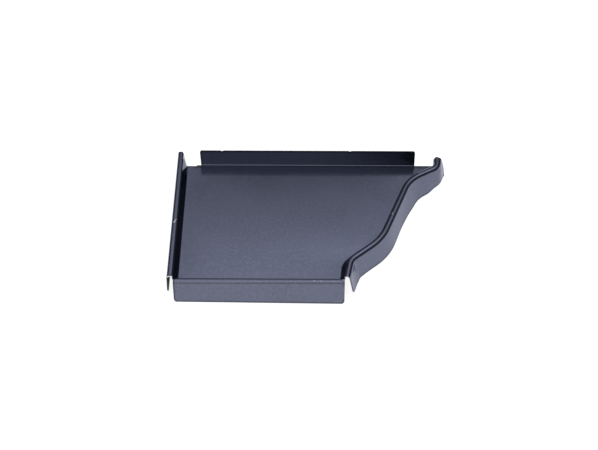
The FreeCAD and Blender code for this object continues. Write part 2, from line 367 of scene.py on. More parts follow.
def shade(hue, brightness=1.0):
    """A colour at some brightness, with its alpha."""
    return (*[min(1.0, channel * brightness) for channel in hue], 1.0)


def new_finish(name):
    """A new material with its node tree."""
    finish = bpy.data.materials.new(name)
    finish.use_nodes = True
    return finish, finish.node_tree


def sweep_tree():
    """Geometry nodes that carry a section along a route. Both come in as rows of mesh points."""
    tree = bpy.data.node_groups.new("Sheet sweep", "GeometryNodeTree")
    tree.is_modifier = True
    for name, kind in (("Outlines", "NodeSocketGeometry"), ("Step", "NodeSocketFloat"),
                       ("Bend Points", "NodeSocketInt"), ("Corner Points", "NodeSocketInt"),
                       ("Finish", "NodeSocketMaterial")):
        tree.interface.new_socket(name=name, in_out="INPUT", socket_type=kind)
    tree.interface.new_socket(name="Sheet", in_out="OUTPUT", socket_type="NodeSocketGeometry")
    given = add(tree, "NodeGroupInput").outputs

    def attribute(name, kind="FLOAT_VECTOR"):
        return made(tree, "GeometryNodeInputNamedAttribute", "Attribute", {"Name": name}, data_type=kind)

    def stored(line, name, value, kind="FLOAT_VECTOR"):
        inputs = {"Geometry": line, "Name": name, "Value": value}
        return made(tree, "GeometryNodeStoreNamedAttribute", "Geometry", inputs, data_type=kind)

    def bent(points, corners):
        line = made(tree, "GeometryNodeMeshToCurve", "Curve", {"Mesh": points})
        inputs = {"Curve": line, "Count": corners, "Radius": attribute("bend", "FLOAT")}
        return made(tree, "GeometryNodeFilletCurve", "Curve", inputs, mode="POLY")

    inputs = {"Geometry": given["Outlines"], "Selection": attribute("in_section", "BOOLEAN")}
    parts = add(tree, "GeometryNodeSeparateGeometry", inputs).outputs
    press = attribute("press")
    section = stored(bent(parts["Selection"], given["Bend Points"]), "shares", press)
    inputs = {"Start Size": 1, "End Size": 0}
    first = made(tree, "GeometryNodeCurveEndpointSelection", "Selection", inputs)
    section = stored(section, "at_plate", first, "FLOAT")
    inputs = {"Curve": bent(parts["Inverted"], given["Corner Points"]), "Length": given["Step"]}
    route = made(tree, "GeometryNodeResampleCurve", "Curve", inputs, mode="LENGTH")
    inputs = {"Value": press, "Iterations": PRESS_BLUR}
    eased = made(tree, "GeometryNodeBlurAttribute", "Value", inputs, data_type="FLOAT_VECTOR")
    route = stored(route, "moves", eased)
    route = stored(route, "way", made(tree, "GeometryNodeInputTangent", "Tangent"))
    route = made(tree, "GeometryNodeSetCurveNormal", "Curve", {"Curve": route}, mode="Z_UP")
    inputs = {"Curve": route, "Profile Curve": section}
    sheet = made(tree, "GeometryNodeCurveToMesh", "Mesh", inputs)
    amount = vector_maths(tree, "DOT_PRODUCT", attribute("shares"), attribute("moves"), output="Value")
    outward = vector_maths(tree, "CROSS_PRODUCT", attribute("way"), (0, 0, 1))
    inputs = {0: outward, "Scale": amount}
    move = made(tree, "ShaderNodeVectorMath", "Vector", inputs, operation="SCALE")
    sheet = made(tree, "GeometryNodeSetPosition", "Geometry", {"Geometry": sheet, "Offset": move})
    sheet = made(tree, "GeometryNodeRealizeInstances", "Geometry", {"Geometry": sheet})
    inputs = {"Geometry": sheet, "Material": given["Finish"]}
    sheet = made(tree, "GeometryNodeSetMaterial", "Geometry", inputs)
    add(tree, "NodeGroupOutput", {"Sheet": sheet})
    return tree


# Strips of sheet


def plain_mesh(piece):
    """The piece's mesh with its modifiers worked in."""
    graph = bpy.context.evaluated_depsgraph_get()
    mesh = bpy.data.meshes.new_from_object(piece.evaluated_get(graph), depsgraph=graph)
    piece.modifiers.clear()
    return mesh


def swept(layout, tree, finish, section, route, step):
    """Bmesh of a section's rows carried along a route's stops."""
    points = [(stop.x, stop.y, 0.0) for stop in route] + [(row.out, -row.up, 0.0) for row in section]
    edges = [(i, i + 1) for i in range(len(points) - 1) if i + 1 != len(route)]
    outlines = bpy.data.meshes.new("outlines")
    outlines.from_pydata(points, edges, [])
    in_section = [False] * len(route) + [True] * len(section)
    bends = [stop.bend for stop in route] + [row.bend for row in section]
    press = [stop.moves for stop in route] + [row.shares for row in section]
    outlines.attributes.new("in_section", "BOOLEAN", "POINT").data.foreach_set("value", in_section)
    outlines.attributes.new("bend", "FLOAT", "POINT").data.foreach_set("value", bends)
    outlines.attributes.new("press", "FLOAT_VECTOR", "POINT").data.foreach_set("vector", np.ravel(press))
    strip = bpy.data.objects.new("strip", outlines)
    bpy.context.scene.collection.objects.link(strip)
    modifier = strip.modifiers.new("Sheet sweep", "NODES")
    modifier.node_group = tree
    values = {"Step": step, "Bend Points": layout.marks.bend_points,
              "Corner Points": layout.marks.corner_points, "Finish": finish}
    for socket in tree.interface.items_tree:
        if socket.name in values:
            modifier[socket.identifier] = values[socket.name]
    mesh = plain_mesh(strip)
    bpy.data.objects.remove(strip)
    bpy.data.meshes.remove(outlines)
    work = bmesh.new()
    work.from_mesh(mesh)
    bpy.data.meshes.remove(mesh)
    return work


def corner_cut(radius, height):
    """How far a rounded corner cuts back at a height from its edge."""
    if height >= radius:
        return 0.0
    return radius - math.sqrt(radius ** 2 - (radius - max(height, 0.0)) ** 2)


def stop_at(place, edge, foot=0.0, roll=0.0, bend=0.0):
    """A stop of the route, with what moves out there."""
    return Stop(place.x, place.y, bend, (edge, foot, roll))


class Layout:
    """Sizes worked out from the property groups, and the runs of the rim."""

    def __init__(self, rim, route, edges, marks):
        self.rim, self.route, self.edges, self.marks = rim, route, edges, marks
        self.plate_top = rim.skirt_depth - rim.ridge_rise
        self.wall_foot = rim.ridge_inside + rim.ridge_rise * math.tan(rim.wall_draft)
        base_tangent = rim.base_bend * math.tan((math.pi / 2 - rim.wall_draft) / 2)
        self.strip = self.wall_foot + base_tangent + rim.bend_land
        fold_tangent = rim.flange_bend * math.tan((math.pi / 2 - edges.flange_lean) / 2)
        self.fold_start = route.top_height - fold_tangent - rim.bend_land
        self.flange_top = self.plate_top + edges.flange_length * math.cos(edges.flange_lean)
        self.back_height = route.top_height + route.back_overrun
        self.lip_height = route.top_height + route.lip_overrun
        self.plate_back_height = route.top_height - edges.plate_back_inset
        self.plate_lip_height = route.top_height - edges.plate_lip_inset
        self.relief_height = route.top_height - edges.relief_inset
        self.bottom_stop = route.bottom_width - edges.bottom_stop
        self.flange_start = edges.flange_back_gap
        self.flange_stop = route.gutter_width - edges.flange_lip_gap
        self.front_way = Vector((route.foot_lean, route.lower_bend_height, 0)).normalized()
        self.back_corner = Vector((0, marks.bottom_inset, 0))
        front_foot = Vector((route.bottom_width, 0, 0))
        self.front_corner = front_foot + self.front_way * (marks.bottom_inset / self.front_way.y)
        self.front_turn = self.front_way.angle(ALONG_X)
        # Rounded corners fade out along a strip over a few times their radius
        self.skirt_fade = 3 * rim.skirt_corner
        self.flange_fade = 4 * edges.flange_corner

    def skirt_edge(self, flare):
        """Outer corner of a skirt's square-cut edge, as (out, up)."""
        rim = self.rim
        up = rim.sheet * flare / math.hypot(flare, rim.skirt_depth)
        return Vector((rim.ridge_outside + flare * (1 - up / rim.skirt_depth), up))

    def skirt_rounding(self, place):
        """How far a skirt's free corner cuts back at a place."""
        return corner_cut(self.rim.skirt_corner, place.z)

    def flange_rounding(self, place):
        """How far the flange's corner cuts back at a place."""
        return corner_cut(self.edges.flange_corner, self.flange_top - place.z)

    def down_wall(self, place):
        """Share of the way down the wall, from the ridge to the plate."""
        return clamp((self.rim.skirt_depth - place.z) / self.rim.ridge_rise)

    def roll(self, part):
        """Push of the lip's roll at a share of the way down the skirt, with none at its edge."""
        return (1 - part) * (ROLL_AT_RIDGE + ROLL_GROWTH * part)

    def rim_section(self, flare, bend):
        """Rows across the rim, from the plate over the ridge to the skirt's edge."""
        rim = self.rim
        rows = [
            Row(-self.strip, self.plate_top, 0.0, (0, 1, 0)),
            Row(-self.wall_foot, self.plate_top, rim.base_bend, (0, 1, 0)),
            Row(-rim.ridge_inside, rim.skirt_depth, bend, (0, 0, 0)),
            Row(rim.ridge_outside, rim.skirt_depth, bend, (0, 0, self.roll(0))),
        ]
        shoulder = Vector((rim.ridge_outside, rim.skirt_depth))
        edge = self.skirt_edge(flare)
        slope = math.atan2(shoulder.y - edge.y, edge.x - shoulder.x)
        start = bend * math.tan(slope / 2) / (edge - shoulder).length
        for part in SKIRT_ROWS:
            place = shoulder.lerp(edge, start + (1 - start) * part)
            rows.append(Row(place.x, place.y, 0.0, (part, 0, self.roll(part))))
        return rows

    def flange_section(self):
        """Rows of the top flange, from the plate up to its edge. Out is along +Y."""
        edges, still = self.edges, (0, 0, 0)
        lean = Vector((math.sin(edges.flange_lean), math.cos(edges.flange_lean))) * edges.flange_length
        rows = [
            Row(self.fold_start - self.route.top_height, self.plate_top, 0.0, still),
            Row(0.0, self.plate_top, self.rim.flange_bend, still),
        ]
        for part in FLANGE_ROWS:
            rows.append(Row(lean.x * part, self.plate_top + lean.y * part, 0.0, still))
        return rows

    def back_route(self):
        """Stops down the back, from its far end to the bottom corner."""
        marks, far_end = self.marks, ALONG_Y * self.back_height
        return [
            stop_at(far_end, marks.back_spread, marks.back_tuck),
            stop_at(far_end * BACK_TUCK_START, marks.back_spread),
            stop_at(self.back_corner, marks.back_spread),
        ]

    def bottom_route(self):
        """Stops along the bottom, from the back to the foot of the front."""
        return [
            stop_at(self.back_corner, self.marks.bottom_back_spread),
            stop_at(self.front_corner, self.marks.bottom_front_spread),
        ]

    def front_route(self):
        """Stops up the ogee front, from its foot to the end of the lip."""
        route, marks = self.route, self.marks
        wall = marks.wall_tuck
        lip_foot = self.lip_height - route.lip_length
        start = self.front_corner.xy
        lower_bend = Vector((route.bottom_width + route.foot_lean, route.lower_bend_height))
        belly = Vector((route.bottom_width + route.belly_reach,
                        route.lower_bend_height + route.belly_rise))
        throat = Vector((route.gutter_width - route.throat_setback, lip_foot - route.throat_drop))
        lip_bend = Vector((route.gutter_width, lip_foot))
        lip_end = Vector((route.gutter_width, self.lip_height))
        return [
            stop_at(start, marks.tip_spread),
            stop_at(start.lerp(lower_bend, FOOT), marks.foot_spread),
            stop_at(lower_bend, marks.lower_bend_spread, marks.foot_tuck, bend=route.lower_bend_radius),
            stop_at(lower_bend.lerp(belly, UNDER_BELLY), marks.under_belly_spread, marks.foot_tuck / 2),
            stop_at(belly, marks.belly_spread, wall, bend=route.belly_radius),
            stop_at(belly.lerp(throat, SHANK), marks.shank_spread, wall),
            stop_at(belly.lerp(throat, UNDER_THROAT), marks.under_throat_spread, wall),
            stop_at(throat, marks.throat_spread, wall, bend=route.throat_radius),
            stop_at(throat.lerp(lip_bend, NECK), marks.neck_spread, wall),
            stop_at(throat.lerp(lip_bend, OVER_NECK), marks.over_neck_spread, wall),
            stop_at(lip_bend, marks.lip_bend_spread, wall, marks.lip_roll / 4, route.lip_bend_radius),
            stop_at(lip_end, marks.lip_end_spread, marks.lip_tuck, marks.lip_roll),
        ]

    def flange_route(self):
        """Stops along the fold, from the lip's side to the back."""
        height = self.route.top_height
        return [stop_at(Vector((x, height)), 0.0) for x in (self.flange_stop, self.flange_start)]


def cut_away(work, point, normal):
    """Cuts the sheet along a plane and drops the side that the normal points to."""
    everything = work.verts[:] + work.edges[:] + work.faces[:]
    bmesh.ops.bisect_plane(work, geom=everything, dist=IN_PLANE, plane_co=point, plane_no=normal,
                           clear_outer=True)


def split(work, faces, point, normal):
    """Cuts some of the sheet's faces along a plane and keeps both sides."""
    lines = {edge for face in faces for edge in face.edges}
    corners = {vert for face in faces for vert in face.verts}
    bmesh.ops.bisect_plane(work, geom=list(corners) + list(lines) + faces, dist=IN_PLANE,
                           plane_co=point, plane_no=normal)


def cut_notch(work, x, y, side):
    """Cuts away what lies below y on one side of x: -1 for lower X, 1 for higher."""
    low = [face for face in work.faces if face.calc_center_median().y < 2 * y]
    split(work, low, (x, 0, 0), ALONG_X)
    beside = [face for face in work.faces if (face.calc_center_median().x - x) * side > 0]
    split(work, beside, (0, y, 0), ALONG_Y)
    waste = []
    for face in work.faces:
        middle = face.calc_center_median()
        if middle.y < y and (middle.x - x) * side > 0:
            waste.append(face)
    bmesh.ops.delete(work, geom=waste, context="FACES")


def draw_back(work, from_end, inward, amount, fade):
    """Draws a strip's end inwards: amount gives how far at each point, and it fades along the strip."""
    for vert in work.verts:
        along = from_end(vert.co)
        if along < fade:
            vert.co += inward * (amount(vert.co) * (1 - max(along, 0.0) / fade))


def draw_to_mitre(work, corner, way, turn):
    """Draws a strip's end back to a mitre: way points along the strip, away from the corner."""
    across = Vector((-way.y, way.x, 0)) * (1 if turn > 0 else -1)
    slope = math.tan(abs(turn) / 2)
    draw_back(work, lambda place: (place - corner).dot(way), way,
              lambda place: (place - corner).dot(across) * slope, MITRE_FADE)


def plate_line(work):
    """Points where a strip meets the plate."""
    layer = work.verts.layers.float["at_plate"]
    return [vert.co.copy() for vert in work.verts if vert[layer] > 0.999]


def back_strip(layout, tree, finish):
    """Rim along the back, trimmed at both ends."""
    rim, edges = layout.rim, layout.edges
    section = layout.rim_section(rim.back_flare, rim.ridge_bend)
    work = swept(layout, tree, finish, section, layout.back_route(), layout.marks.step)
    shoulder_cut = layout.back_height - layout.plate_back_height - edges.back_wall_slant

    def far_cut(place):
        if place.x <= 0:
            return layout.skirt_rounding(place)
        over_ridge = clamp((place.x - rim.ridge_inside / 2) / (rim.ridge_inside / 2))
        return shoulder_cut * over_ridge + edges.back_wall_slant * layout.down_wall(place)

    draw_back(work, lambda place: layout.back_height - place.y, -ALONG_Y, far_cut, FAR_CUT_FADE)
    draw_to_mitre(work, layout.back_corner, ALONG_Y, -math.pi / 2)
    cut_notch(work, edges.bottom_start, edges.back_notch, -1)
    draw_back(work, lambda place: place.y - edges.back_notch, ALONG_Y, layout.skirt_rounding,
              layout.skirt_fade)
    return work


def bottom_strip(layout, tree, finish):
    """Rim along the bottom, mitred and cut square at both ends."""
    rim, edges = layout.rim, layout.edges
    section = layout.rim_section(rim.bottom_flare, rim.ridge_bend)
    work = swept(layout, tree, finish, section, layout.bottom_route(), layout.marks.step)
    draw_to_mitre(work, layout.back_corner, ALONG_X, math.pi / 2)
    draw_to_mitre(work, layout.front_corner, -ALONG_X, -layout.front_turn)
    cut_away(work, (edges.bottom_start, 0, 0), -ALONG_X)
    cut_away(work, (layout.bottom_stop, 0, 0), ALONG_X)

    def back_cut(place):
        return layout.skirt_rounding(place) + layout.marks.bottom_lean * (1 - place.z / rim.skirt_depth)

    draw_back(work, lambda place: place.x - edges.bottom_start, ALONG_X, back_cut, layout.skirt_fade)
    draw_back(work, lambda place: layout.bottom_stop - place.x, -ALONG_X, layout.skirt_rounding,
              layout.skirt_fade)
    return work


def front_strip(layout, tree, finish):
    """Rim up the ogee front, notched at its foot and trimmed at the lip."""
    rim, edges, width = layout.rim, layout.edges, layout.route.gutter_width
    section = layout.rim_section(rim.front_flare, rim.front_bend)
    work = swept(layout, tree, finish, section, layout.front_route(), layout.marks.step)
    shoulder_cut = layout.lip_height - layout.plate_lip_height - edges.lip_wall_slant

    def lip_cut(place):
        if place.x >= width:
            over_skirt = clamp((place.x - width) / rim.ridge_outside)
            return layout.skirt_rounding(place) + edges.lip_skirt_setback * over_skirt
        over_ridge = clamp((width - place.x - rim.ridge_inside / 4) / (rim.ridge_inside * 3 / 4))
        return shoulder_cut * over_ridge + edges.lip_wall_slant * layout.down_wall(place)

    def tip_cut(place):
        return layout.skirt_rounding(place) - layout.marks.tip_lean * (1 - place.z / rim.skirt_depth)

    draw_back(work, lambda place: layout.lip_height - place.y, -ALONG_Y, lip_cut, layout.skirt_fade)
    draw_to_mitre(work, layout.front_corner, layout.front_way, layout.front_turn)
    cut_notch(work, layout.bottom_stop, edges.front_notch, 1)
    draw_back(work, lambda place: place.y - edges.front_notch, layout.front_way, tip_cut,
              layout.skirt_fade)
    return work


def flange_strip(layout, tree, finish):
    """Flange along the open top, with its edge nicked and its corners rounded."""
    top, fade = layout.flange_top, layout.flange_fade
    work = swept(layout, tree, finish, layout.flange_section(), layout.flange_route(),
                 layout.marks.step / 2)

    def back_cut(place):
        up = clamp((place.z - layout.plate_top) / (top - layout.plate_top))
        return layout.flange_rounding(place) - layout.marks.flange_end_lean * up

    for vert in work.verts:
        for x, depth in NICKS:
            along = clamp(1 - abs(vert.co.x - x) / NICK_REACH)
            down = clamp(1 - (top - vert.co.z) / NICK_REACH)
            vert.co.z -= depth * along * down
    draw_back(work, lambda place: place.x - layout.flange_start, ALONG_X, back_cut, fade)
    draw_back(work, lambda place: layout.flange_stop - place.x, -ALONG_X, layout.flange_rounding, fade)
    return work


# The whole sheet


def finder(places):
    """A tree that finds the nearest of some places."""
    tree = KDTree(len(places))
    for index, place in enumerate(places):
        tree.insert(place, index)
    tree.balance()
    return tree


def fill_plate(sheet, outline, layout):
    """Fills the plate inside its outline with triangles on a loose grid of points."""
    grid = layout.marks.plate_grid
    flat = [place.to_2d() for place in outline]
    edge_points = np.array([tuple(place) for place in flat])
    low = edge_points.min(axis=0)
    high = edge_points.max(axis=0)
    inside = []
    for row, y in enumerate(np.arange(low[1] + grid, high[1], grid * GRID_ROW)):
        for x in np.arange(low[0] + grid * (1 + row % 2 / 2), high[0], grid):
            if np.hypot(*(edge_points - (x, y)).T).min() > grid * GRID_CLEARANCE:
                inside.append(Vector((x, y)))
    corners = list(range(len(flat)))
    ring = list(zip(corners, corners[1:] + corners[:1]))
    places, _, faces, _, _, _ = delaunay_2d_cdt(flat + inside, ring, [corners], 1, IN_PLANE)
    old_verts = sheet.verts[:]
    tree = finder([vert.co for vert in old_verts])
    verts = {}
    for i in {i for face in faces for i in face}:
        spot = Vector((*places[i], layout.plate_top))
        _, index, distance = tree.find(spot)
        verts[i] = old_verts[index] if distance < WELD else sheet.verts.new(spot)
    for face in faces:
        sheet.faces.new([verts[i] for i in face])


def at_tip(place, layout):
    """Whether a place is at the front skirt's near cut end."""
    return place.x > layout.bottom_stop and place.y < layout.edges.front_notch + layout.rim.skirt_corner


def mark_painted_edge_shade(sheet, layout):
    """Marks the painted shade that darkens the paint towards the sheet's cut edges, but not at the front's
    tip.
    """
    cut = [vert.co for vert in sheet.verts if vert.is_boundary and not at_tip(vert.co, layout)]
    tree = finder(cut)
    # Painted shade: strongest at the cut edges, gone at the edge shade's width from them
    layer = sheet.verts.layers.float.new("edge_painted_shade")
    for vert in sheet.verts:
        vert[layer] = clamp(1 - tree.find(vert.co)[2] / layout.edges.edge_shade)


def crown_plate(sheet, layout, front):
    """Lifts the plate's middle above its outline and lays soft waves over it."""
    marks = layout.marks
    low = layout.strip + marks.bottom_inset
    middle = (layout.fold_start + low) / 2
    half = (layout.fold_start - low) / 2
    heights = [place.y for place in front]
    reaches = [place.x for place in front]

    def shoulder(distance):
        return 1 - math.exp(-max(distance, 0.0) / marks.crown_shoulder)

    for vert in sheet.verts:
        place = vert.co
        if abs(place.z - layout.plate_top) < WELD / 10 and abs(place.y - middle) < half:
            across = 1 - ((place.y - middle) / half) ** 2
            from_back = shoulder(place.x - layout.strip)
            from_front = shoulder(np.interp(place.y, heights, reaches) - place.x)
            wave = marks.plate_wave * noise.noise(place / marks.plate_wave_length)
            place.z += across * from_back * from_front * (marks.plate_crown + wave)


def press_sheet(layout, finish):
    """Outer face of the whole sheet, in gutter coordinates."""
    tree = sweep_tree()
    makers = (back_strip, bottom_strip, front_strip, flange_strip)
    strips = [make(layout, tree, finish) for make in makers]
    back, bottom, front, flange = [plate_line(strip) for strip in strips]
    back.sort(key=lambda place: -place.y)
    bottom.sort(key=lambda place: place.x)
    front.sort(key=lambda place: place.y)
    flange.sort(key=lambda place: -place.x)
    sheet = bmesh.new()
    for strip in strips:
        mesh = bpy.data.meshes.new("strip")
        strip.to_mesh(mesh)
        strip.free()
        sheet.from_mesh(mesh)
        bpy.data.meshes.remove(mesh)
    relief_start = layout.flange_start - layout.edges.relief_width
    land = layout.fold_start + layout.rim.bend_land
    lip_side = [
        Vector((layout.flange_stop, layout.plate_lip_height, layout.plate_top)),
        Vector((layout.flange_stop, land, layout.plate_top)),
    ]
    back_side = [
        Vector((layout.flange_start, land, layout.plate_top)),
        Vector((layout.flange_start, layout.relief_height, layout.plate_top)),
        Vector((relief_start, layout.relief_height, layout.plate_top)),
        Vector((relief_start, layout.plate_back_height, layout.plate_top)),
    ]
    loop = back + bottom + front + lip_side + flange + back_side
    pairs = zip(loop, loop[-1:] + loop)
    outline = [place for place, before in pairs if (place - before).length > WELD]
    bmesh.ops.remove_doubles(sheet, verts=sheet.verts[:], dist=WELD)
    fill_plate(sheet, outline, layout)
    bmesh.ops.dissolve_degenerate(sheet, edges=sheet.edges[:], dist=4 * WELD)
    mark_painted_edge_shade(sheet, layout)
    crown_plate(sheet, layout, front)
    return sheet


def is_bare(place, layout):
    """Whether the paint is gone from a cut edge at this place: at the two notches and the far cut."""
    edges, half = layout.edges, layout.rim.ridge_outside
    high = place.z > layout.rim.skirt_depth - 1.2 * layout.rim.sheet
    near_back = abs(place.y - edges.back_notch) < half / 2 and place.x < half
    near_front = abs(place.y - edges.front_notch) < half and abs(place.x - layout.bottom_stop) < half
    far_back = place.y > layout.plate_back_height and half / 2 < place.x < layout.wall_foot
    return far_back or high and (near_back or near_front)


def is_bared_past_plate(place, layout):
    """Whether the back wall's face, past the end of the plate, gets the bare metal finish."""
    past = place.y - layout.plate_back_height
    return past > 0 and layout.rim.ridge_inside < place.x < layout.wall_foot


def thicken(piece, layout):
    """Gives the sheet its thickness, rounds its cut edges and bares the metal where it shows."""
    solidify = piece.modifiers.new("Sheet", "SOLIDIFY")
    solidify.thickness = layout.rim.sheet
    solidify.offset = -1
    solidify.use_even_offset = True
    solidify.use_quality_normals = True
    solidify.material_offset_rim = 1
    piece.data = plain_mesh(piece)
    work = bmesh.new()
    work.from_mesh(piece.data)
    weight = work.edges.layers.float.new("bevel_weight_edge")
    for edge in work.edges:
        if len({face.material_index for face in edge.link_faces}) == 2:
            edge[weight] = 1.0
    for face in work.faces:
        face.smooth = True
        place = face.calc_center_median()
        if face.material_index and not is_bare(place, layout):
            face.material_index = 0
        elif is_bared_past_plate(place, layout):
            face.material_index = 1
    work.to_mesh(piece.data)
    work.free()
    bevel = piece.modifiers.new("Cut edges", "BEVEL")
    bevel.limit_method = "WEIGHT"
    bevel.width = layout.edges.edge_rounding
    bevel.segments = 2
    bevel.use_clamp_overlap = False
    bevel.harden_normals = True
    piece.data = plain_mesh(piece)


# Finishes

# Marks in the paint, in millimetres in the part's frame: place, half sizes, turn in degrees, depth
CHIPS = (
    ((-64.65, -4.1, 10.8), (0.36, 0.95, 0.6), -14, 0.8),
    ((-64.05, -2.6, 10.8), (0.22, 0.75, 0.6), -38, 0.8),
    ((38.7, 2.0, 10.8), (0.2, 0.85, 0.6), -23, 0.9),
    ((1.2, -42.03, 10.9), (0.45, 0.22, 0.4), 0, 0.25),
    ((4.33, -42.01, 10.9), (0.4, 0.2, 0.4), 0, 0.25),
    ((14.65, -41.2, 10.8), (0.5, 0.5, 0.6), 20, 0.9),
    ((-40.25, 40.75, 6.1), (0.3, 0.25, 0.3), 0, 0.3),
    ((-2.84, 40.98, 6.1), (0.25, 0.25, 0.3), 0, 0.3),
)
# How ragged the chips are, and where they end and are full, in half sizes from the middle
CHIP_RAGGED = 0.9
CHIP_END = 1.55
CHIP_FULL = 1.25

# Grains to the metre of the paint's broad mottling, its fine grain, its skin, its dust and its
# chips' outlines, of the bare metal's streaks and of the floor
MOTTLE = 45.0
GRAIN = 750.0
SKIN = 2600.0
DUST = 420.0
CHIP_GRAIN = 1600.0
STREAK = 3000.0
FLOOR_GRAIN = 30.0
# How much of a speck of dust shows in colour and in roughness
DUST_COLOUR = 0.12
DUST_ROUGHNESS = 0.5
# Height of the skin and of the chips, in metres, and how strongly each turns the light
RELIEF = 0.0001
SKIN_STRENGTH = 0.02
CHIP_STRENGTH = 0.3


def chip_mask(tree, place):
    """Near 1 inside the chips, 0 elsewhere, with ragged outlines."""
    ragged = speckle(tree, place, CHIP_GRAIN)
    total = 0.0
    for centre, half, turn, depth in CHIPS:
        inputs = {"Vector": place, "Location": Vector(centre) / 1000, "Scale": Vector(half) / 1000,
                  "Rotation": (0, 0, math.radians(turn))}
        local = made(tree, "ShaderNodeMapping", "Vector", inputs, vector_type="TEXTURE")
        reach = vector_maths(tree, "LENGTH", local, output="Value")
        torn = maths(tree, "MULTIPLY_ADD", ragged, CHIP_RAGGED, reach)
        mask = ramped(tree, torn, CHIP_END, CHIP_FULL, 0.0, depth)
        total = maths(tree, "MAXIMUM", total, mask)
    return total


def dust_mask(tree, place):
    """Share of dust: round specks in a few of many cells."""
    cells = add(tree, "ShaderNodeTexVoronoi", {"Vector": place, "Scale": DUST}).outputs
    near = ramped(tree, cells["Distance"], 0.1, 0.05)
    pick = made(tree, "ShaderNodeSeparateColor", "Red", {"Color": cells["Color"]})
    specks = maths(tree, "MULTIPLY", near, ramped(tree, pick, 0.955, 0.965))
    return maths(tree, "MULTIPLY", specks, DUST_COLOUR)


def paint_finish(look):
    """Semi-gloss slate-blue coil paint with a fine skin, faint mottling, dust and chips, and painted shade
    along the cut edges.
    """
    finish, tree = new_finish("slate_blue_coil_paint")
    place = made(tree, "ShaderNodeTexCoord", "Object")
    broad = speckle(tree, place, MOTTLE, 3.0)
    fine = speckle(tree, place, GRAIN, 3.0)
    skin = speckle(tree, place, SKIN)
    dust = dust_mask(tree, place)
    chips = chip_mask(tree, place)
    cut = made(tree, "ShaderNodeAttribute", "Fac", attribute_name="edge_painted_shade")
    hue = mixed(tree, ramped(tree, broad, 0.35, 0.65), shade(look.paint, look.deep), shade(look.paint))
    hue = mixed(tree, ramped(tree, fine, 0.45, 0.75), hue, shade(look.paint, look.pale))
    hue = mixed(tree, dust, hue, shade(look.dust))
    # Painted shade: the paint darkens towards the cut edges
    hue = mixed(tree, cut, hue, shade(look.paint, look.painted_shade))
    hue = mixed(tree, chips, hue, shade(look.bare_metal))
    gloss = ramped(tree, broad, 0.3, 0.7, look.gloss_low, look.gloss_high)
    gloss = maths(tree, "MULTIPLY_ADD", dust, DUST_ROUGHNESS, gloss)
    inputs = {"Strength": SKIN_STRENGTH, "Distance": RELIEF, "Height": skin}
    bump = made(tree, "ShaderNodeBump", "Normal", inputs)
    inputs = {"Strength": CHIP_STRENGTH, "Distance": RELIEF, "Height": chips, "Normal": bump}
    bump = made(tree, "ShaderNodeBump", "Normal", inputs, invert=True)
    feed(tree, tree.nodes["Principled BSDF"], {
        "Base Color": hue,
        "Metallic": look.flake,
        "Roughness": gloss,
        "Specular Tint": shade(look.flake_tint),
        # Painted shade: the clear coat fades out towards the cut edges, so they reflect less
        "Coat Weight": ramped(tree, cut, 0.0, 1.0, look.coat, 0.0),
        "Coat IOR": look.coat_index,
        "Coat Roughness": look.varnish,
        "Normal": bump,
    })
    return finish


def bare_finish(look):
    """Bright sheared aluminium with fine streaks."""
    finish, tree = new_finish("sheared_aluminium")
    streak = speckle(tree, made(tree, "ShaderNodeTexCoord", "Object"), STREAK)
    feed(tree, tree.nodes["Principled BSDF"], {
        "Base Color": mixed(tree, streak, shade(look.bare_metal, look.dull), shade(look.bare_metal)),
        "Metallic": 1.0,
        "Roughness": ramped(tree, streak, 0.3, 0.7, 0.3, 0.5),
    })
    return finish


# Stage


def floor_finish(look):
    """Pale floor that the camera and reflections see as white, with the cap's shadow kept and a painted
    shadow under the plate, where reflections see only the floor's matt shade.
    """
    finish, tree = new_finish("pale_floor")
    tree.nodes.clear()
    white = (1.0, 1.0, 1.0, 1.0)
    path = add(tree, "ShaderNodeLightPath").outputs
    place = made(tree, "ShaderNodeTexCoord", "Object")
    # Painted shadow: reflections see the floor's white glow only outside a box under the plate
    away = vector_maths(tree, "SUBTRACT", place, look.hollow_middle)
    away = vector_maths(tree, "ABSOLUTE", away)
    away = vector_maths(tree, "DIVIDE", away, look.hollow_size)
    away = add(tree, "ShaderNodeSeparateXYZ", {"Vector": away}).outputs
    outside = ramped(tree, maths(tree, "MAXIMUM", away["X"], away["Y"]), 0.99, 1.0)
    mirrored = maths(tree, "MULTIPLY", path["Is Glossy Ray"], outside)
    seen = maths(tree, "MAXIMUM", path["Is Camera Ray"], mirrored)
    seen = maths(tree, "MAXIMUM", seen, path["Is Transmission Ray"])
    grain = ramped(tree, speckle(tree, place, FLOOR_GRAIN), 0.3, 0.7, 0.0, 0.04)
    hue = mixed(tree, grain, shade(look.floor), white)
    matt = made(tree, "ShaderNodeBsdfDiffuse", "BSDF", {"Color": hue})
    inputs = {"Color": white, "Strength": look.floor_white}
    glow = made(tree, "ShaderNodeEmission", "Emission", inputs)
    some_matt = made(tree, "ShaderNodeMixShader", "Shader", {0: 1 - look.floor_shade, 1: matt})
    lit = made(tree, "ShaderNodeAddShader", "Shader", {0: some_matt, 1: glow})
    surface = made(tree, "ShaderNodeMixShader", "Shader", {0: seen, 1: matt, 2: lit})
    add(tree, "ShaderNodeOutputMaterial", {"Surface": surface})
    return finish


def studio_world(look):
    """Soft light overhead in dim surroundings."""
    world = bpy.data.worlds.new("Studio")
    world.use_nodes = True
    tree = world.node_tree
    tree.nodes.clear()
    ray = made(tree, "ShaderNodeTexCoord", "Generated")
    overhead = Vector(look.light_from).normalized()
    height = vector_maths(tree, "DOT_PRODUCT", ray, overhead, output="Value")
    strength = ramped(tree, height, look.light_edge, look.light_core, look.low_light, look.high_light,
                      "SMOOTHSTEP")
    inputs = {"Color": shade(look.light_colour), "Strength": strength}
    light = made(tree, "ShaderNodeBackground", "Background", inputs)
    add(tree, "ShaderNodeOutputWorld", {"Surface": light})
    return world


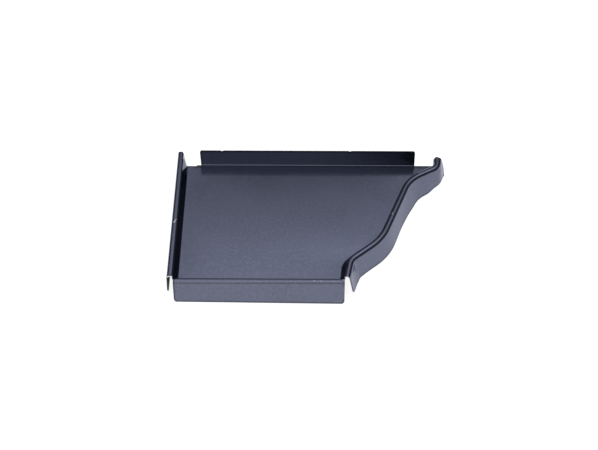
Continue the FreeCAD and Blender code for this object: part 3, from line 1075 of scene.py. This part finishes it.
def add_fill(look):
    """Broad soft lamp beside and behind the camera, turned to the cap."""
    lamp = bpy.data.lights.new("fill", "AREA")
    lamp.shape = "RECTANGLE"
    lamp.size = look.fill_width
    lamp.size_y = look.fill_height
    lamp.color = look.fill_colour
    lamp.energy = look.fill_light * math.pi * look.fill_width * look.fill_height
    place = Vector(look.fill_place)
    turn = place.to_track_quat("Z", "Y").to_matrix()
    fill = bpy.data.objects.new("fill", lamp)
    fill.matrix_world = Matrix.Translation(place) @ turn.to_4x4()
    bpy.context.scene.collection.objects.link(fill)


def add_camera(look):
    """Camera at the photo's place and angle."""
    aim = Vector(look.camera_aim).normalized()
    right = aim.cross((0, 0, 1)).normalized()
    up = right.cross(aim)
    turned_right = right * math.cos(look.camera_roll) + up * math.sin(look.camera_roll)
    turned_up = up * math.cos(look.camera_roll) - right * math.sin(look.camera_roll)
    camera = bpy.data.objects.new("camera", bpy.data.cameras.new("camera"))
    camera.data.lens = look.lens
    camera.data.sensor_width = look.sensor
    camera.data.sensor_fit = "HORIZONTAL"
    camera.data.clip_start = 0.01
    turn = Matrix((turned_right, turned_up, -aim)).transposed()
    camera.matrix_world = Matrix.Translation(look.camera_place) @ turn.to_4x4()
    bpy.context.scene.collection.objects.link(camera)
    bpy.context.scene.camera = camera


# Operators and panel


class ENDCAP_OT_press(bpy.types.Operator):
    """Press the end cap from its painted sheet"""
    bl_idname = "endcap.press"
    bl_label = "Press End Cap"

    def execute(self, context):
        scene = context.scene
        layout = Layout(scene.endcap_rim, scene.endcap_route, scene.endcap_edges, scene.endcap_marks)
        paint = paint_finish(scene.endcap_paint)
        sheet = press_sheet(layout, paint)
        mesh = bpy.data.meshes.new("end_cap_sheet")
        sheet.to_mesh(mesh)
        sheet.free()
        for name in [item.name for item in mesh.attributes if item.name in WORK_ATTRIBUTES]:
            mesh.attributes.remove(mesh.attributes[name])
        mesh.materials.clear()
        mesh.materials.append(paint)
        mesh.materials.append(bare_finish(scene.endcap_paint))
        piece = bpy.data.objects.new("end_cap_sheet", mesh)
        scene.collection.objects.link(piece)
        thicken(piece, layout)
        for vert in piece.data.vertices:
            vert.co.z = max(vert.co.z, 0.0)
        low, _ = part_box(CAD_NODE)
        back = layout.skirt_edge(layout.rim.back_flare).x
        bottom = layout.skirt_edge(layout.rim.bottom_flare).x
        piece.data.transform(Matrix.Translation((low.x + back, low.y + bottom, 0)))
        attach(piece, "root")
        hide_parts(CAD_NODE)
        return {"FINISHED"}


class ENDCAP_OT_stage(bpy.types.Operator):
    """Set up the floor, the light and the camera"""
    bl_idname = "endcap.stage"
    bl_label = "Set Up Stage"

    def execute(self, context):
        look = context.scene.endcap_stage
        half = look.floor_size / 2
        corners = [(-half, -half, 0), (half, -half, 0), (half, half, 0), (-half, half, 0)]
        mesh = bpy.data.meshes.new("floor")
        mesh.from_pydata(corners, [], [(0, 1, 2, 3)])
        mesh.materials.append(floor_finish(look))
        floor = bpy.data.objects.new("floor", mesh)
        context.scene.collection.objects.link(floor)
        context.scene.world = studio_world(look)
        context.scene.view_settings.view_transform = "Standard"
        add_fill(look)
        add_camera(look)
        return {"FINISHED"}


class ENDCAP_PT_panel(bpy.types.Panel):
    """Sizes, looks and steps of the end cap"""
    bl_idname = "ENDCAP_PT_panel"
    bl_label = "Gutter End Cap"
    bl_space_type = "VIEW_3D"
    bl_region_type = "UI"
    bl_category = "End Cap"

    def draw(self, context):
        for name, (title, group) in GROUPS.items():
            box = self.layout.box()
            box.label(text=title)
            for key in group.__annotations__:
                box.prop(getattr(context.scene, name), key)
        self.layout.operator(ENDCAP_OT_press.bl_idname)
        self.layout.operator(ENDCAP_OT_stage.bl_idname)


GROUPS = {
    "endcap_rim": ("Rim", RimSizes),
    "endcap_route": ("Route", RouteSizes),
    "endcap_edges": ("Edges", EdgeSizes),
    "endcap_marks": ("Pressing", PressMarks),
    "endcap_paint": ("Paint", PaintLook),
    "endcap_stage": ("Stage", StageLook),
}
CLASSES = (*[group for _, group in GROUPS.values()], ENDCAP_OT_press, ENDCAP_OT_stage, ENDCAP_PT_panel)


def register():
    """Registers the classes and hangs the property groups on the scene."""
    for item in CLASSES:
        bpy.utils.register_class(item)
    for name, (_, group) in GROUPS.items():
        setattr(bpy.types.Scene, name, PointerProperty(type=group))


def unregister():
    """Takes the property groups and classes away again."""
    for name in GROUPS:
        delattr(bpy.types.Scene, name)
    for item in reversed(CLASSES):
        bpy.utils.unregister_class(item)


def main():
    """Builds the cap and its stage."""
    register()
    bpy.ops.endcap.press()
    bpy.ops.endcap.stage()


if __name__ == "__main__":
    main()
